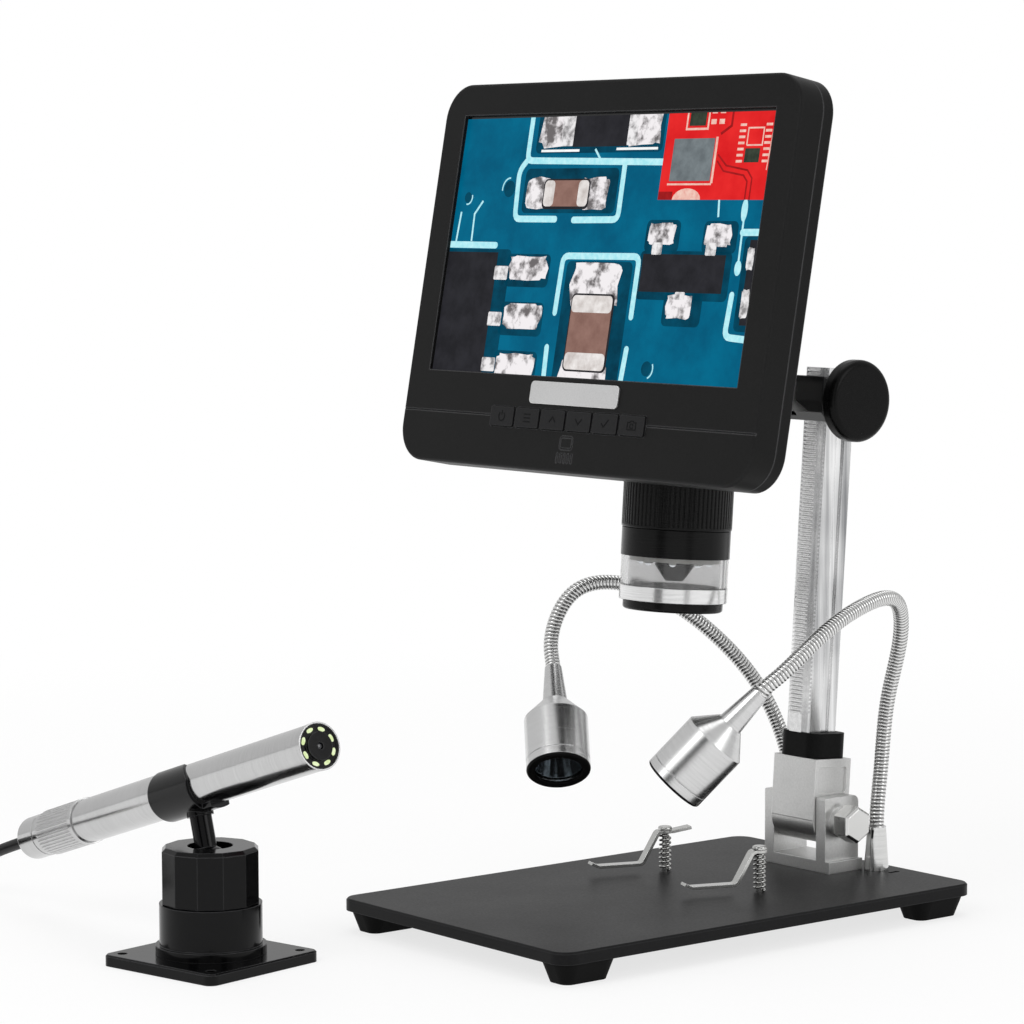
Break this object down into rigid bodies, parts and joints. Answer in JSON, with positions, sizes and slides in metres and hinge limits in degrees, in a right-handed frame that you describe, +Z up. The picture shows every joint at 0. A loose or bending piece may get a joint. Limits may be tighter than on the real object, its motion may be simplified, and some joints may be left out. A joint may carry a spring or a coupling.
{
  "type": "digital microscope",
  "caption": "Digital microscope with a leaning screen on a rack-and-pinion column, gooseneck lamps, spring clips on a base plate, and a separate tube camera on a ball-joint stand.",
  "frame": {"origin": "on the table, under the middle of the base plate", "axes": "+X to the right of someone facing the screen, +Y away from them, +Z up"},
  "size_m": [0.3377, 0.3174, 0.2771],
  "materials": {
    "plate_enamel": "dark grey powder coat",
    "foot_rubber": "moulded black rubber",
    "screw_steel": "zinc plated",
    "satin_aluminium": "bead blasted and clear anodised",
    "bolt_chrome": "bright plated",
    "collar_plastic": "moulded",
    "column_aluminium": "extruded and brushed",
    "rack_steel": "milled",
    "slider_black": "gloss black",
    "knob_black": "polished",
    "housing_plastic": "fine grain",
    "button_plastic": "fine grain",
    "screen_panel": "lit panel",
    "nameplate_silver": "satin",
    "board_green": "solder mask",
    "battery_wrap": "shrink wrap",
    "barrel_black": "satin black anodised",
    "shade_clear": "clear moulded",
    "led_board": "white",
    "lens_glass": "coated",
    "hose_steel": "wound metal hose",
    "lamp_silver": "turned and polished",
    "lamp_bezel_black": "moulded",
    "clip_steel": "spring steel",
    "stand_black": "moulded gloss",
    "seat_nylon": "moulded",
    "scope_silver": "turned and satin anodised",
    "scope_face_black": "moulded",
    "cord_black": "extruded PVC",
    "plug_black": "overmoulded"
  },
  "bodies": {
    "base": {"base_plate": "plate_enamel", "feet": "foot_rubber", "base_screws": "screw_steel", "hinge_bracket": "satin_aluminium", "clip_posts": "clip_steel", "lamp_sockets": "satin_aluminium", "stand_foot": "plate_enamel", "stand_body": "stand_black"},
    "clamp": {"pivot_bolt": "bolt_chrome"},
    "column": {"column": "column_aluminium", "column_foot": "satin_aluminium", "column_collar": "collar_plastic", "rack": "rack_steel"},
    "carriage": {"slider": "slider_black", "arm": "satin_aluminium", "front_bezel": "housing_plastic", "back_cover": "housing_plastic", "case_screws": "screw_steel", "lcd_panel": "screen_panel", "nameplate": "nameplate_silver", "circuit_boards": "board_green", "battery": "battery_wrap", "lens_barrel": "barrel_black", "shade_ring": "shade_clear", "bottom_ring": "barrel_black", "led_ring": "led_board"},
    "pinion": {"pinion_shaft": "rack_steel", "focus_knob_left": "knob_black", "focus_knob_right": "knob_black"},
    "focus_ring": {"focus_ring": "barrel_black"},
    "lens_carrier": {"lens_carrier": "barrel_black", "objective_lenses": "lens_glass"},
    "button_1": {"button_1": "button_plastic"},
    "button_2": {"button_2": "button_plastic"},
    "button_3": {"button_3": "button_plastic"},
    "button_4": {"button_4": "button_plastic"},
    "button_5": {"button_5": "button_plastic"},
    "button_6": {"button_6": "button_plastic"},
    "left_lamp": {"left_gooseneck": "hose_steel", "left_lamp_head": "lamp_silver", "left_lamp_bezel": "lamp_bezel_black", "left_lamp_lens": "lens_glass"},
    "left_clip_swivel": {"left_clip_spring": "clip_steel"},
    "left_clip": {"left_clip_arm": "clip_steel"},
    "right_lamp": {"right_gooseneck": "hose_steel", "right_lamp_head": "lamp_silver", "right_lamp_bezel": "lamp_bezel_black", "right_lamp_lens": "lens_glass"},
    "right_clip_swivel": {"right_clip_spring": "clip_steel"},
    "right_clip": {"right_clip_arm": "clip_steel"},
    "lock_nut": {"lock_nut": "stand_black"},
    "scope_pan": {"ball_seat": "seat_nylon", "cord_tube": "cord_black", "cord_coil": "cord_black", "usb_plug": "plug_black"},
    "scope": {"ball_stem": "stand_black", "scope_clip": "stand_black", "scope_tube": "scope_silver", "scope_front": "scope_face_black", "scope_cap": "scope_silver"}
  },
  "joints": [
    {"name": "clamp_turn", "type": "hinge", "parent": "base", "child": "clamp", "pos_m": [0, 0.068, 0.028], "axis": [1, 0, 0], "range_deg": [0, 180]},
    {"name": "column_tilt", "type": "hinge", "parent": "base", "child": "column", "pos_m": [0, 0.068, 0.028], "axis": [-1, 0, 0], "range_deg": [-4, 26]},
    {"name": "focus_lift", "type": "slide", "parent": "column", "child": "carriage", "axis": [0, 0.0698, 0.9976], "range_m": [-0.038, 0.003]},
    {"name": "focus_knob_turn", "type": "hinge", "parent": "carriage", "child": "pinion", "pos_m": [0, 0.0633, 0.17158], "axis": [1, 0, 0], "range_deg": [-34.77, 439.9]},
    {"name": "focus_ring_turn", "type": "hinge", "parent": "carriage", "child": "focus_ring", "pos_m": [0, 0.00786, 0.13846], "axis": [0, 0.0698, 0.9976], "range_deg": [-135.05, 135.05]},
    {"name": "lens_focus", "type": "slide", "parent": "carriage", "child": "lens_carrier", "axis": [0, 0.0698, 0.9976], "range_m": [-0.003, 0.003]},
    {"name": "button_1_press", "type": "slide", "parent": "carriage", "child": "button_1", "axis": [0, 0.9829, -0.184], "range_m": [0, 0.0005], "stiffness_N_per_m": 1500},
    {"name": "button_2_press", "type": "slide", "parent": "carriage", "child": "button_2", "axis": [0, 0.9829, -0.184], "range_m": [0, 0.0005], "stiffness_N_per_m": 1500},
    {"name": "button_3_press", "type": "slide", "parent": "carriage", "child": "button_3", "axis": [0, 0.9829, -0.184], "range_m": [0, 0.0005], "stiffness_N_per_m": 1500},
    {"name": "button_4_press", "type": "slide", "parent": "carriage", "child": "button_4", "axis": [0, 0.9829, -0.184], "range_m": [0, 0.0005], "stiffness_N_per_m": 1500},
    {"name": "button_5_press", "type": "slide", "parent": "carriage", "child": "button_5", "axis": [0, 0.9829, -0.184], "range_m": [0, 0.0005], "stiffness_N_per_m": 1500},
    {"name": "button_6_press", "type": "slide", "parent": "carriage", "child": "button_6", "axis": [0, 0.9829, -0.184], "range_m": [0, 0.0005], "stiffness_N_per_m": 1500},
    {"name": "left_lamp_swing", "type": "hinge", "parent": "base", "child": "left_lamp", "pos_m": [-0.0205, 0.07975, 0.026], "axis": [0, 0, 1], "range_deg": [-60, 3]},
    {"name": "right_lamp_swing", "type": "hinge", "parent": "base", "child": "right_lamp", "pos_m": [0.0205, 0.07975, 0.026], "axis": [0, 0, -1], "range_deg": [-60, 3]},
    {"name": "left_clip_swing", "type": "hinge", "parent": "base", "child": "left_clip_swivel", "pos_m": [-0.0237, 0.023, 0.02], "axis": [0, 0, 1], "range_deg": [-60, 60]},
    {"name": "left_clip_press", "type": "slide", "parent": "left_clip_swivel", "child": "left_clip", "axis": [0, 0, -1], "range_m": [0, 0.002], "stiffness_N_per_m": 400, "deforming": ["left_clip_spring"]},
    {"name": "right_clip_swing", "type": "hinge", "parent": "base", "child": "right_clip_swivel", "pos_m": [0.0237, 0.023, 0.02], "axis": [0, 0, 1], "range_deg": [-60, 60]},
    {"name": "right_clip_press", "type": "slide", "parent": "right_clip_swivel", "child": "right_clip", "axis": [0, 0, -1], "range_m": [0, 0.002], "stiffness_N_per_m": 400, "deforming": ["right_clip_spring"]},
    {"name": "lock_nut_turn", "type": "hinge", "parent": "base", "child": "lock_nut", "pos_m": [-0.042, -0.15, 0.025], "axis": [0, 0, 1], "range_deg": [-40, 40]},
    {"name": "scope_pan_turn", "type": "hinge", "parent": "base", "child": "scope_pan", "pos_m": [-0.042, -0.15, 0.024], "axis": [0, 0, 1], "range_deg": [-25, 25]},
    {"name": "scope_tilt", "type": "hinge", "parent": "scope_pan", "child": "scope", "pos_m": [-0.042, -0.15, 0.0292], "axis": [0, 1, 0], "range_deg": [-3, 30], "deforming": ["cord_tube"]}
  ],
  "couplings": [
    {"joint": "focus_knob_turn", "follows": "focus_lift", "rad_per_m": -202.02},
    {"joint": "focus_ring_turn", "follows": "lens_focus", "rad_per_m": 785.4}
  ]
}
